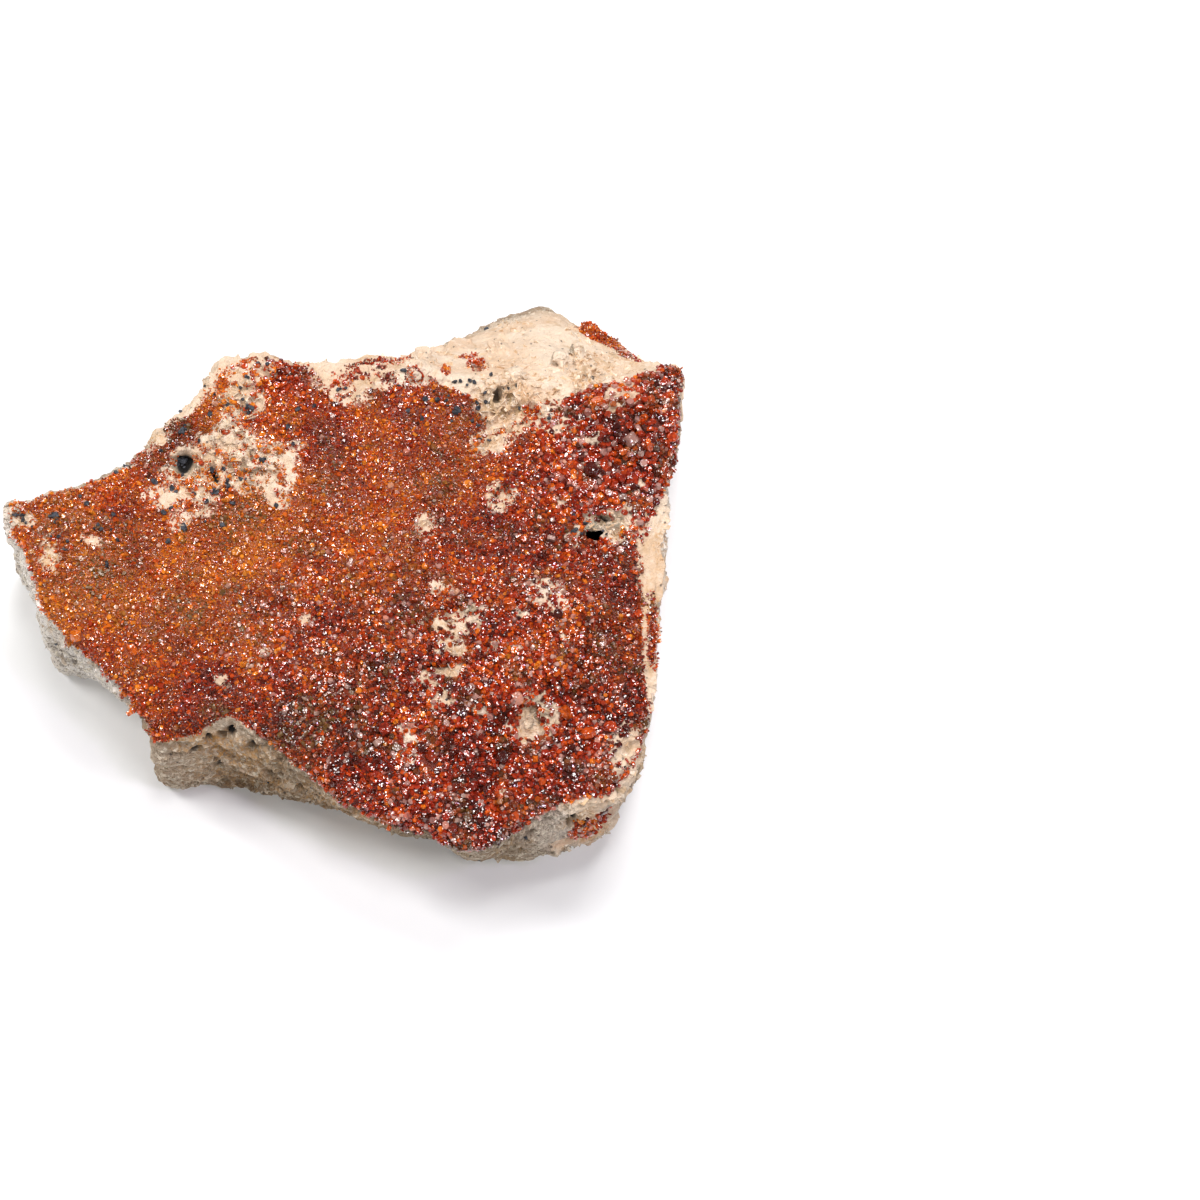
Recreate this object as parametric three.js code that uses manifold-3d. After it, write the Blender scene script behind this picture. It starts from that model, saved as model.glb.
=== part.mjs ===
// Vanadinite on matrix: a broken slab of pale, porous barite matrix, lying on its flat underside,
// with a crust of small orange to dark red vanadinite crystals grown over its upper face.
// Millimetres. +X runs to the right along the slab, +Y to its back, +Z up. The origin is under
// the middle of the slab's footprint, on the surface that it lies on.

import * as THREE from "three";
import { mergeVertices } from "three/addons/utils/BufferGeometryUtils.js";
import Module from "manifold-3d";

const wasm = await Module();
wasm.setup();

// The crystal face: its height over the origin, and how it leans towards the front
const FACE_HEIGHT = 19.5;
const FACE_LEAN = Math.tan(THREE.MathUtils.degToRad(4));

// The slab's upper edge, counter-clockwise from the left tip. Each point has x and y, how far
// short of the edge the crystals stop, and how far the wall stands out at half height and at the foot.
const RIM = [
  [-36.4, 6.2, 0.7, 0.6, 0.6],
  [-35.8, 3.7, 0.5, 0.3, -0.4],
  [-34.4, 0.9, 0.4, -0.3, -1.2],
  [-33.1, -2.5, 0.4, 0.4, -0.8],
  [-31.7, -5.9, 0.4, 0.9, -0.2],
  [-29.9, -8.6, 0.4, -0.7, -2.4],
  [-27.8, -10.3, 0.4, -1.2, -3.4],
  [-25.7, -11.8, 0.4, -1.2, -3.2],
  [-23.0, -14.6, 0.4, -1.6, -3.2],
  [-21.0, -17.1, 0.4, -1.0, -2.2],
  [-20.2, -18.7, 0.4, 1.0, 0.8],
  [-16.0, -17.9, 0.4, 1.5, 1.8],
  [-14.2, -16.7, 0.8, 2.6, 3.2],
  [-12.4, -16.7, 0.8, 2.6, 3.0],
  [-8.0, -20.0, 0.4, 1.2, 1.0],
  [-4.8, -22.5, 0.4, 0.4, -1.0],
  [-2.1, -24.7, 0.4, -0.9, -2.8],
  [2.1, -27.7, 0.4, -1.9, -3.8],
  [5.8, -29.4, 0.4, -2.1, -4.3],
  [9.0, -29.9, 0.4, -2.2, -4.5],
  [12.2, -31.9, 0.4, -2.3, -5.0],
  [14.3, -32.4, 0.4, -2.2, -5.4],
  [16.5, -31.4, 0.4, -1.4, -4.2],
  [18.1, -30.0, 0.5, -0.4, -2.2],
  [20.3, -28.8, 0.6, 1.0, -1.0],
  [23.1, -27.3, 1.0, 1.7, -0.3],
  [26.4, -26.4, 1.2, 1.8, -0.4],
  [29.1, -25.6, 0.8, 0.2, -1.0],
  [31.0, -23.6, 0.5, 0.0, -0.8],
  [32.3, -19.5, 0.5, -0.4, -0.6],
  [33.0, -15.6, 0.8, -0.4, 0.2],
  [33.8, -8.4, 2.0, -0.6, 0.6],
  [34.3, -4.2, 2.2, -0.2, 0.8],
  [35.0, 0.4, 2.6, 0.0, 0.8],
  [35.6, 6.2, 2.0, -0.4, 0.4],
  [36.5, 10.9, 0.6, -1.0, -0.8],
  [37.3, 15.7, 0.4, -1.4, -1.0],
  [37.9, 23.2, 0.8, 1.4, 2.6],
  [35.2, 22.7, 1.2, 7.2, 12.2],
  [31.1, 21.7, 1.6, 9.8, 16.4],
  [26.5, 21.0, 5.0, 12.0, 20.0],
  [22.0, 21.2, 9.5, 12.4, 20.6],
  [17.5, 21.8, 3.8, 11.0, 18.2],
  [11.8, 22.5, 2.0, 8.7, 14.4],
  [8.5, 24.1, 1.6, 5.2, 8.6],
  [2.2, 24.0, 1.0, 2.4, 3.4],
  [-3.9, 22.8, 2.0, 1.8, 2.2],
  [-10.0, 24.0, 0.8, 1.4, 1.6],
  [-13.9, 23.2, 1.6, 1.2, 1.4],
  [-14.6, 20.3, 1.4, 1.4, 1.6],
  [-19.3, 15.9, 1.2, 1.8, 2.4],
  [-23.0, 10.9, 0.8, 2.4, 3.4],
  [-30.8, 7.5, 0.6, 2.6, 4.2],
];
const EDGE_STEP = 4.6;

// Swells and hollows of the crystal face: place, spread and rise
const FACE_RELIEF = [
  [-19.3, -18.9, 4.5, -3.4],
  [-26.0, -3.0, 7.0, 0.8],
  [-15.0, 12.0, 5.0, -0.5],
  [-10.5, 18.5, 4.5, 0.8],
  [-13.5, -12.5, 3.0, -0.7],
  [-13.5, -6.0, 2.6, -0.5],
  [12.2, -7.0, 9.0, 2.5],
  [14.3, -32.0, 6.0, 2.0],
  [21.0, -18.0, 5.0, -1.2],
  [31.5, -22.0, 5.0, -1.2],
  [12.5, 18.0, 6.0, -1.6],
];

// Bare patches, where the pale matrix shows through the crystals: place, half sizes and turn
const BARE_PATCHES = [
  [-13.4, 14.0, 3.4, 1.5, -20],
  [-17.6, 10.6, 2.4, 1.1, -25],
  [-9.0, 9.6, 1.8, 1.0, 10],
  [19.9, -18.2, 1.8, 2.6, 15],
  [13.4, -6.2, 3.0, 1.2, 15],
  [11.6, -12.6, 1.9, 1.5, 0],
  [17.2, 7.4, 1.5, 1.0, 30],
  [8.8, 3.4, 1.3, 0.9, 20],
  [28.6, 4.0, 2.6, 1.6, -5],
];
const CAVITY = [27.6, 3.4];

const CRUST_THICKNESS = 1.0;
const CRUST_GAP = 0.3;
const CRUST_ROOT = 0.1;

// Rings of the face, wall, underside and crust, as shares of the way out from the middle
const FACE_ROWS = [0, 0.25, 0.48, 0.7, 0.88, 1];
const WALL_ROWS = 8;
const BASE_ROWS = [0.6, 0];
const CRUST_ROWS = [0, 0.1, 0.2, 0.3, 0.4, 0.5, 0.6, 0.7, 0.8, 0.9, 1];
const CRUST_BUMP = 0.42;

const matrixStone = new THREE.MeshStandardMaterial({ color: 0xd9ccb8, roughness: 0.9, metalness: 0 });
const vanadinite = new THREE.MeshStandardMaterial({ color: 0xa83a18, roughness: 0.22, metalness: 0 });

function seededRandom(seed) {
  let state = seed;
  return () => {
    state = (state * 1664525 + 1013904223) % 4294967296;
    return state / 4294967296;
  };
}

function latticeValue(i, j, k) {
  const wave = Math.sin(i * 127.1 + j * 311.7 + k * 74.7) * 4375.85;
  return 2 * (wave - Math.floor(wave)) - 1;
}

// Smooth noise from -1 to 1, whose lumps are about one unit wide
function smoothNoise(x, y, z) {
  const cell = [x, y, z].map(Math.floor);
  const [u, v, w] = [x - cell[0], y - cell[1], z - cell[2]].map((t) => t * t * (3 - 2 * t));
  const corner = (di, dj, dk) => latticeValue(cell[0] + di, cell[1] + dj, cell[2] + dk);
  const { lerp } = THREE.MathUtils;
  const layer = (dk) => lerp(
    lerp(corner(0, 0, dk), corner(1, 0, dk), u),
    lerp(corner(0, 1, dk), corner(1, 1, dk), u),
    v,
  );
  return lerp(layer(0), layer(1), w);
}

function faceHeight(x, y) {
  let height = FACE_HEIGHT + FACE_LEAN * y;
  for (const [cx, cy, spread, rise] of FACE_RELIEF) {
    height += rise * Math.exp(-((x - cx) ** 2 + (y - cy) ** 2) / (2 * spread ** 2));
  }
  return height;
}

function asManifold(geometry) {
  const bare = geometry.clone();
  bare.deleteAttribute("normal");
  bare.deleteAttribute("uv");
  const merged = mergeVertices(bare, 1e-5);
  const corners = merged.index.array;
  const kept = [];
  for (let i = 0; i < corners.length; i += 3) {
    const [a, b, c] = corners.slice(i, i + 3);
    if (a !== b && b !== c && c !== a) kept.push(a, b, c);
  }
  const triVerts = new Uint32Array(kept);
  const vertProperties = new Float32Array(merged.attributes.position.array);
  const mesh = new wasm.Mesh({ numProp: 3, vertProperties, triVerts });
  mesh.merge();
  return new wasm.Manifold(mesh);
}

function asMesh(name, solid, material) {
  const { vertProperties, triVerts } = solid.getMesh();
  const geometry = new THREE.BufferGeometry();
  geometry.setAttribute("position", new THREE.BufferAttribute(vertProperties, 3));
  geometry.setIndex(new THREE.BufferAttribute(triVerts, 1));
  geometry.computeVertexNormals();
  const mesh = new THREE.Mesh(geometry, material);
  mesh.name = name;
  return mesh;
}

// The biggest body of a solid that cutting has left in several
function largestBody(solid) {
  return solid.decompose().reduce((a, b) => (b.volume() > a.volume() ? b : a));
}

// The columns round the slab: each rim edge in short steps, with its outward direction
function rimColumns() {
  const columns = [];
  RIM.forEach((start, i) => {
    const end = RIM[(i + 1) % RIM.length];
    const before = RIM[(i + RIM.length - 1) % RIM.length];
    const after = RIM[(i + 2) % RIM.length];
    const between = (row, next, share) => row.map((value, k) => THREE.MathUtils.lerp(value, next[k], share));
    const length = Math.hypot(end[0] - start[0], end[1] - start[1]);
    const steps = Math.max(1, Math.round(length / EDGE_STEP));
    for (let step = 0; step < steps; step += 1) {
      const [x, y, bare, waist, foot] = between(start, end, step / steps);
      const [fromX, fromY] = between(before, start, step / steps);
      const [toX, toY] = between(end, after, step / steps);
      const along = new THREE.Vector2(toX - fromX, toY - fromY).normalize();
      columns.push({ x, y, bare, waist, foot, out: new THREE.Vector2(along.y, -along.x) });
    }
  });
  return columns;
}

const COLUMNS = rimColumns();

// How many neighbouring columns share one point in a ring, so that triangles keep their size
function columnsShared(share) {
  if (share < 0.15) return 8;
  if (share < 0.32) return 4;
  return share < 0.62 ? 2 : 1;
}

// A sphere's rows and columns drawn over another closed shape: shares gives how far out each row
// lies, and place a point for each column and row
function reshapedSphere(shares, place) {
  const rows = shares.length - 1;
  const geometry = new THREE.SphereGeometry(1, COLUMNS.length, rows);
  const { position } = geometry.attributes;
  for (let row = 0; row <= rows; row += 1) {
    const shared = columnsShared(shares[row]);
    for (let i = 0; i <= COLUMNS.length; i += 1) {
      const own = i % COLUMNS.length;
      const point = place(COLUMNS[own - (own % shared)], row);
      position.setXYZ(row * (COLUMNS.length + 1) + i, point.x, point.y, point.z);
    }
  }
  return geometry;
}

// A point of the wall: down is 0 at the rim and 1 at the foot
function wallPoint(column, down) {
  const slope = 4 * column.waist - column.foot;
  const bend = 2 * column.foot - 4 * column.waist;
  const top = faceHeight(column.x, column.y);
  const z = top * (1 - down);
  const fade = Math.min(1, down * 5);
  const lumps = 0.9 * smoothNoise(column.x / 5 + 7, column.y / 5, z / 4);
  const grit = 0.5 * smoothNoise(column.x / 2.1, column.y / 2.1 + 3, z / 1.9);
  const reach = slope * down + bend * down * down + fade * (lumps + grit);
  return new THREE.Vector3(column.x + column.out.x * reach, column.y + column.out.y * reach, z);
}

function slabPoint(column, row) {
  if (row < FACE_ROWS.length) {
    const [x, y] = [column.x * FACE_ROWS[row], column.y * FACE_ROWS[row]];
    return new THREE.Vector3(x, y, faceHeight(x, y));
  }
  const wallRow = row - FACE_ROWS.length + 1;
  if (wallRow <= WALL_ROWS) return wallPoint(column, wallRow / WALL_ROWS);
  const foot = wallPoint(column, 1);
  const share = BASE_ROWS[wallRow - WALL_ROWS - 1];
  return new THREE.Vector3(foot.x * share, foot.y * share, 0);
}

function slab() {
  return asManifold(reshapedSphere([...FACE_ROWS, ...Array(WALL_ROWS).fill(1), ...BASE_ROWS], slabPoint));
}

// A column near a direction seen from the origin, in degrees from +X
function columnAt(degrees) {
  const angle = THREE.MathUtils.degToRad(degrees);
  const towards = (column) => Math.cos(Math.atan2(column.y, column.x) - angle);
  return COLUMNS.reduce((a, b) => (towards(b) > towards(a) ? b : a));
}

function placed(geometry, position, rotation, size) {
  const turn = new THREE.Quaternion().setFromEuler(new THREE.Euler(...rotation));
  geometry.applyMatrix4(new THREE.Matrix4().compose(position, turn, size));
  return asManifold(geometry);
}

// Angular pits in the wall, where crystals or soft mineral have gone
const PIT_COUNT = 18;
const UNDERSIDE_PITS = 4;

function pits() {
  const random = seededRandom(71);
  const found = [];
  for (let i = 0; i < PIT_COUNT; i += 1) {
    const column = COLUMNS[Math.floor((i / PIT_COUNT) * COLUMNS.length + random() * 2) % COLUMNS.length];
    const centre = wallPoint(column, 0.22 + 0.58 * random());
    const radius = 0.8 + 1.1 * random() ** 2;
    const turn = [random() * 3, random() * 3, random() * 3];
    const size = new THREE.Vector3(radius, radius * (0.6 + 0.8 * random()), radius * 0.8);
    found.push(placed(new THREE.IcosahedronGeometry(1, 0), centre, turn, size));
  }
  for (let i = 0; i < UNDERSIDE_PITS; i += 1) {
    const angle = (i * 2 * Math.PI) / UNDERSIDE_PITS;
    const reach = 11 + 9 * random();
    const centre = new THREE.Vector3(Math.cos(angle) * reach * 1.3, Math.sin(angle) * reach, -0.9);
    const radius = 1.8 + random();
    const size = new THREE.Vector3(radius, radius, radius);
    found.push(placed(new THREE.IcosahedronGeometry(1, 0), centre, [random(), random(), 0], size));
  }
  return found;
}

// Flat breaks in the wall: direction from the origin, height down the wall and depth
const BREAKS = [
  [172, 0.62, 1.0],
  [208, 0.66, 1.1],
  [244, 0.66, 1.3],
  [262, 0.75, 1.0],
  [285, 0.7, 1.2],
  [336, 0.7, 0.9],
  [12, 0.66, 1.0],
  [104, 0.55, 1.2],
  [138, 0.58, 1.2],
];
const BREAK_RADIUS = 6.5;

function breaks() {
  const random = seededRandom(47);
  return BREAKS.map(([degrees, down, depth]) => {
    const column = columnAt(degrees);
    const centre = wallPoint(column, down);
    const reach = BREAK_RADIUS * 0.85 - depth;
    centre.add(new THREE.Vector3(column.out.x * reach, column.out.y * reach, 0));
    const turn = [random() * 3, random() * 3, random() * 3];
    const size = new THREE.Vector3(BREAK_RADIUS, BREAK_RADIUS, BREAK_RADIUS * 0.8);
    return placed(new THREE.DodecahedronGeometry(1, 0), centre, turn, size);
  });
}

// Blocks that stand out of the wall as ledges and knobs: direction, height down the wall and size
const BLOCKS = [
  [186, 0.3, 2.6],
  [203, 0.42, 3.0],
  [232, 0.55, 3.2],
  [238, 0.22, 2.4],
  [251, 0.4, 2.6],
  [275, 0.45, 2.4],
  [308, 0.5, 3.6],
  [313, 0.3, 3.0],
  [318, 0.62, 3.2],
  [3, 0.5, 2.4],
  [62, 0.5, 3.4],
  [72, 0.28, 2.2],
  [52, 0.34, 3.2],
  [118, 0.3, 3.0],
  [140, 0.35, 2.6],
];

function blocks() {
  const random = seededRandom(29);
  return BLOCKS.map(([degrees, down, width]) => {
    const column = columnAt(degrees);
    const centre = wallPoint(column, down);
    centre.x -= column.out.x * width * 0.22;
    centre.y -= column.out.y * width * 0.22;
    const size = new THREE.Vector3(width * 0.6, width * (0.5 + 0.3 * random()), width * 0.42);
    const turn = [random() * 3, random() * 3, random() * 3];
    return placed(new THREE.DodecahedronGeometry(1, 0), centre, turn, size);
  });
}

// Thin barite blades, fanned over the bare ground at the back and in the larger bare patches
const BLADE_BEDS = [
  [19.0, 19.0, 3.6, 9],
  [24.0, 24.5, 4.6, 5],
  [-14.0, 13.6, 2.0, 2],
  [20.0, -18.2, 1.0, 2],
  [13.4, -6.2, 1.2, 1],
];
const BLADE_THICKNESS = 0.4;

// The blades themselves, or with a margin the room that they need
function blades(ground, margin) {
  const random = seededRandom(5);
  const found = [];
  for (const [x, y, spread, count] of BLADE_BEDS) {
    for (let i = 0; i < count; i += 1) {
      const angle = random() * 2 * Math.PI;
      const reach = spread * Math.sqrt(random());
      const [px, py] = [x + Math.cos(angle) * reach, y + Math.sin(angle) * reach];
      const length = Math.min(4.2, spread) * (0.6 + 0.5 * random());
      const size = new THREE.Vector3(length, BLADE_THICKNESS, 1.5).addScalar(2 * margin);
      const centre = new THREE.Vector3(px, py, ground(px, py) + 0.05);
      const turn = [0.9 * (random() - 0.5), 0.3 * (random() - 0.5), random() * Math.PI];
      found.push(placed(new THREE.BoxGeometry(1, 1, 1), centre, turn, size));
    }
  }
  return found;
}

// Height of the bare ground: the face, and behind its crest the long slope down to the back
function groundHeight(x, y) {
  const column = columnAt(THREE.MathUtils.radToDeg(Math.atan2(y, x)));
  const past = (x - column.x) * column.out.x + (y - column.y) * column.out.y;
  if (past <= 0) return faceHeight(x, y);
  return faceHeight(column.x, column.y) * (1 - 0.5 * Math.min(1, past / column.waist));
}

function cavity() {
  const [x, y] = CAVITY;
  const centre = new THREE.Vector3(x, y, faceHeight(x, y) - 0.6);
  const size = new THREE.Vector3(1.9, 1.2, 1.9);
  return placed(new THREE.DodecahedronGeometry(1, 0), centre, [0.4, 0.2, 0.9], size);
}

function makeUnbrokenMatrix() {
  let solid = slab();
  for (const block of blocks()) solid = solid.add(block);
  for (const blade of blades(groundHeight, 0)) solid = solid.add(blade);
  return solid;
}

function breakMatrix(unbroken) {
  let solid = unbroken;
  for (const cut of breaks()) solid = solid.subtract(cut);
  for (const pit of pits()) solid = solid.subtract(pit);
  return largestBody(solid.subtract(cavity()));
}

// A six-sided vanadinite prism with flat ends
function crystal(centre, radius, length, turn) {
  const prism = new THREE.CylinderGeometry(radius, radius, length, 6);
  return placed(prism, centre, turn, new THREE.Vector3(1, 1, 1));
}

// Where the larger crystals stand: place, spread, number, and smallest and largest radius
const CRYSTAL_BEDS = [
  [30.5, 14.0, 5.5, 15, 0.8, 1.35],
  [18.0, -24.0, 7.5, 9, 0.7, 1.1],
  [25.0, -12.0, 6.0, 5, 0.7, 1.0],
  [2.0, -18.0, 7.0, 3, 0.6, 0.9],
  [16.9, -16.4, 0.8, 2, 1.0, 1.3],
  [-8.0, 20.6, 2.6, 2, 0.7, 0.9],
];
const RIM_CRYSTALS = 12;

function crystals() {
  const random = seededRandom(101);
  const anyTurn = () => [random() * Math.PI, random() * Math.PI, random() * Math.PI];
  const found = [];
  const inside = (x, y) => {
    const column = columnAt(THREE.MathUtils.radToDeg(Math.atan2(y, x)));
    return Math.hypot(x, y) < Math.hypot(column.x, column.y) - column.bare - 2;
  };
  for (const [x, y, spread, count, smallest, largest] of CRYSTAL_BEDS) {
    for (let made = 0; made < count;) {
      const angle = random() * 2 * Math.PI;
      const reach = spread * Math.sqrt(random());
      const [px, py] = [x + Math.cos(angle) * reach, y + Math.sin(angle) * reach];
      if (!inside(px, py)) continue;
      made += 1;
      const radius = smallest + (largest - smallest) * random();
      const centre = new THREE.Vector3(px, py, faceHeight(px, py) + CRUST_THICKNESS + CRUST_GAP);
      found.push(crystal(centre, radius, radius * (1.4 + random()), anyTurn()));
    }
  }
  for (let i = 0; i < RIM_CRYSTALS; i += 1) {
    const column = COLUMNS[Math.floor((i * COLUMNS.length) / RIM_CRYSTALS)];
    const share = 1 - (column.bare + 0.5) / Math.hypot(column.x, column.y);
    const [px, py] = [column.x * share, column.y * share];
    const radius = 0.5 + 0.3 * random();
    const centre = new THREE.Vector3(px, py, faceHeight(px, py) + CRUST_GAP + radius * 1.35);
    found.push(crystal(centre, radius, radius * 1.7, anyTurn()));
  }
  return found;
}

const CRUST_ALL_ROWS = [...CRUST_ROWS, 1, 0.5, 0];

// The crust's upper side thins towards its edge; its lower side starts just inside the slab
function crustPoint(column, row) {
  const share = CRUST_ALL_ROWS[row] * (1 - column.bare / Math.hypot(column.x, column.y));
  const [x, y] = [column.x * share, column.y * share];
  if (row >= CRUST_ROWS.length) return new THREE.Vector3(x, y, faceHeight(x, y) - CRUST_ROOT);
  const atEdge = row === CRUST_ROWS.length - 1;
  const thickness = atEdge ? CRUST_THICKNESS * 0.55 : CRUST_THICKNESS;
  const bumps = atEdge ? 0 : CRUST_BUMP * latticeValue(Math.round(x * 3), Math.round(y * 3), 1);
  return new THREE.Vector3(x, y, faceHeight(x, y) + CRUST_GAP + thickness + bumps);
}

// An uneven upright plug that cuts one bare patch out of the crust
function patchPlug([x, y, halfLength, halfWidth, degrees], random) {
  const plug = new THREE.CylinderGeometry(1, 1, 8, 9).rotateX(Math.PI / 2);
  const { position } = plug.attributes;
  const reaches = Array.from({ length: 9 }, () => 0.8 + 0.4 * random());
  for (let i = 0; i < position.count; i += 1) {
    const side = Math.round((Math.atan2(position.getY(i), position.getX(i)) / (2 * Math.PI)) * 9 + 9) % 9;
    position.setX(i, position.getX(i) * reaches[side]);
    position.setY(i, position.getY(i) * reaches[side]);
  }
  const turn = [0, 0, THREE.MathUtils.degToRad(degrees)];
  const centre = new THREE.Vector3(x, y, faceHeight(x, y));
  return placed(plug, centre, turn, new THREE.Vector3(halfLength, halfWidth, 1));
}

function makeMainDruse(unbroken) {
  const random = seededRandom(13);
  let solid = asManifold(reshapedSphere(CRUST_ALL_ROWS, crustPoint));
  for (const prism of crystals()) solid = solid.add(prism);
  for (const patch of BARE_PATCHES) solid = solid.subtract(patchPlug(patch, random));
  for (const room of blades(groundHeight, CRUST_GAP)) solid = solid.subtract(room);
  return largestBody(solid.subtract(unbroken.translate([0, 0, CRUST_GAP])));
}

// Smaller druses that grew on the broken sides: direction, height down the wall, half length,
// half height, turn about the outward direction, and number of crystals
const SIDE_DRUSES = {
  right_side_druse: [345, 0.36, 4.8, 3.0, 0, 4],
  front_corner_druse: [316, 0.3, 2.4, 1.7, 30, 3],
  back_edge_druse: [33, 0.8, 6.4, 1.2, 22, 4],
};
const SIDE_DRUSE_DEPTH = 1.3;

function makeSideDruse(matrix, [degrees, down, halfLength, halfHeight, turned, count]) {
  const random = seededRandom(degrees);
  const column = columnAt(degrees);
  const centre = wallPoint(column, down);
  const lower = wallPoint(column, down + 0.1);
  const place = COLUMNS.indexOf(column);
  const along = wallPoint(COLUMNS[place + 1], down).sub(wallPoint(COLUMNS[place - 1], down)).normalize();
  const up = centre.clone().sub(lower).normalize();
  const out = along.clone().cross(up).normalize();
  up.crossVectors(out, along);
  const frame = new THREE.Matrix4().makeBasis(along, up, out).setPosition(centre);
  frame.multiply(new THREE.Matrix4().makeRotationZ(THREE.MathUtils.degToRad(turned)));
  const lens = new THREE.IcosahedronGeometry(1, 1);
  lens.scale(halfLength, halfHeight, SIDE_DRUSE_DEPTH).applyMatrix4(frame);
  let solid = asManifold(lens);
  for (let i = 0; i < count; i += 1) {
    const angle = random() * 2 * Math.PI;
    const reach = 0.75 * Math.sqrt(random());
    const spot = new THREE.Vector3(
      Math.cos(angle) * reach * halfLength,
      Math.sin(angle) * reach * halfHeight,
      SIDE_DRUSE_DEPTH * Math.sqrt(1 - reach ** 2),
    ).applyMatrix4(frame);
    const radius = 0.4 + 0.25 * random();
    solid = solid.add(crystal(spot, radius, radius * 1.8, [random() * 3, random() * 3, random() * 3]));
  }
  for (const side of [along, along.clone().negate(), up, up.clone().negate()]) {
    const clearance = out.clone().add(side).setLength(CRUST_GAP * 1.2);
    solid = solid.subtract(matrix.translate(clearance.toArray()));
  }
  return largestBody(solid);
}

const specimen = new THREE.Group();
const unbroken = makeUnbrokenMatrix();
const matrix = breakMatrix(unbroken);
specimen.add(asMesh("matrix", matrix, matrixStone));
specimen.add(asMesh("vanadinite_druse", makeMainDruse(unbroken), vanadinite));
for (const [name, plan] of Object.entries(SIDE_DRUSES)) {
  specimen.add(asMesh(name, makeSideDruse(matrix, plan), vanadinite));
}
const middle = new THREE.Box3().setFromObject(specimen).getCenter(new THREE.Vector3());
specimen.position.set(-middle.x, -middle.y, 0);

export default specimen;
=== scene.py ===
"""Vanadinite on matrix: a broken slab of pale, porous barite with a druse of small orange to dark red
vanadinite crystals over its upper face. Sizes are in metres. Most places on the stone are given as the
pixels of the photograph at which they show."""

import math

import bpy
import numpy as np
from mathutils import Matrix, Vector, noise
from mathutils.bvhtree import BVHTree
from mathutils.kdtree import KDTree


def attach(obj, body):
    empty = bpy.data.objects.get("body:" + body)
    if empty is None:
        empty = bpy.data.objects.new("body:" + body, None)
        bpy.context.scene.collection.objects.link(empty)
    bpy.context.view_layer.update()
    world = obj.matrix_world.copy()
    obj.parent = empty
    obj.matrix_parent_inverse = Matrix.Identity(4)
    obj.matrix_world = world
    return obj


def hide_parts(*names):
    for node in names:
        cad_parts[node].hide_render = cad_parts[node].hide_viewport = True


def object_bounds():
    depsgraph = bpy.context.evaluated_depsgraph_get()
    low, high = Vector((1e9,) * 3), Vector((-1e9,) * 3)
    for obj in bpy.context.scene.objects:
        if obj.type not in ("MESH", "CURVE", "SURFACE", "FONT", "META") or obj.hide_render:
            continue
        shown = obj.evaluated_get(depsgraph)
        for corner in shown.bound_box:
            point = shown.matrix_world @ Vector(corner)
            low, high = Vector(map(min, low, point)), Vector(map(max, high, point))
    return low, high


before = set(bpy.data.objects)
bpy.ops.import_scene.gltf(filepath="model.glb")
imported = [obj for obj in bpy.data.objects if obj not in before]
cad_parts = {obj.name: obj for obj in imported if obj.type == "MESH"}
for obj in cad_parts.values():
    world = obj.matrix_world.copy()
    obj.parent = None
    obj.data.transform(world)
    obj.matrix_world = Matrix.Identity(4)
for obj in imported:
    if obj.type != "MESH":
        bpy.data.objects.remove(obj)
cad_low, cad_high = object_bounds()

MM = 0.001

# The photograph's view: its width and the lens in pixels, what one pixel covers on the stone, the camera's
# film width in mm, how steeply it looks down, and a place on the stone with the pixel that shows it
PHOTO_SIZE = 1200
LENS_PIXELS = 2400
PIXEL = 0.1128 * MM
SENSOR = 36.0
LOOK_DOWN = math.radians(70)
AIM = Vector((-1.508, -4.539, 14.0)) * MM
AIM_PIXEL = (345, 580)

# The stone's surface: how finely it is meshed, and how deep the crusts are sunk to become its ground
VOXEL = 0.29 * MM
SAME_PLACE = 0.002 * MM
CRUST_SINK = 0.45 * MM
SMOOTHING_ROUNDS = 7
STONE_TRIANGLES = 185000

# The stone's relief, in mm: layers and thin leaves on the walls, leaves on top, hollows, pores and holes
LAYER_DEPTH = 0.62
LEAF_DEPTH = 0.36
TOP_LEAF_DEPTH = 0.12
HOLLOW_DEPTH = 0.7
PORE_DEPTH = 0.8
HOLE_DEPTH = 1.3

# The smaller crusts, each with the direction into the stone behind it
SIDE_DRUSES = {
    "right_side_druse": (-1, 0, 0),
    "front_corner_druse": (-0.7, 0.7, 0),
    "back_edge_druse": (0, -0.7, -0.7),
}

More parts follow.
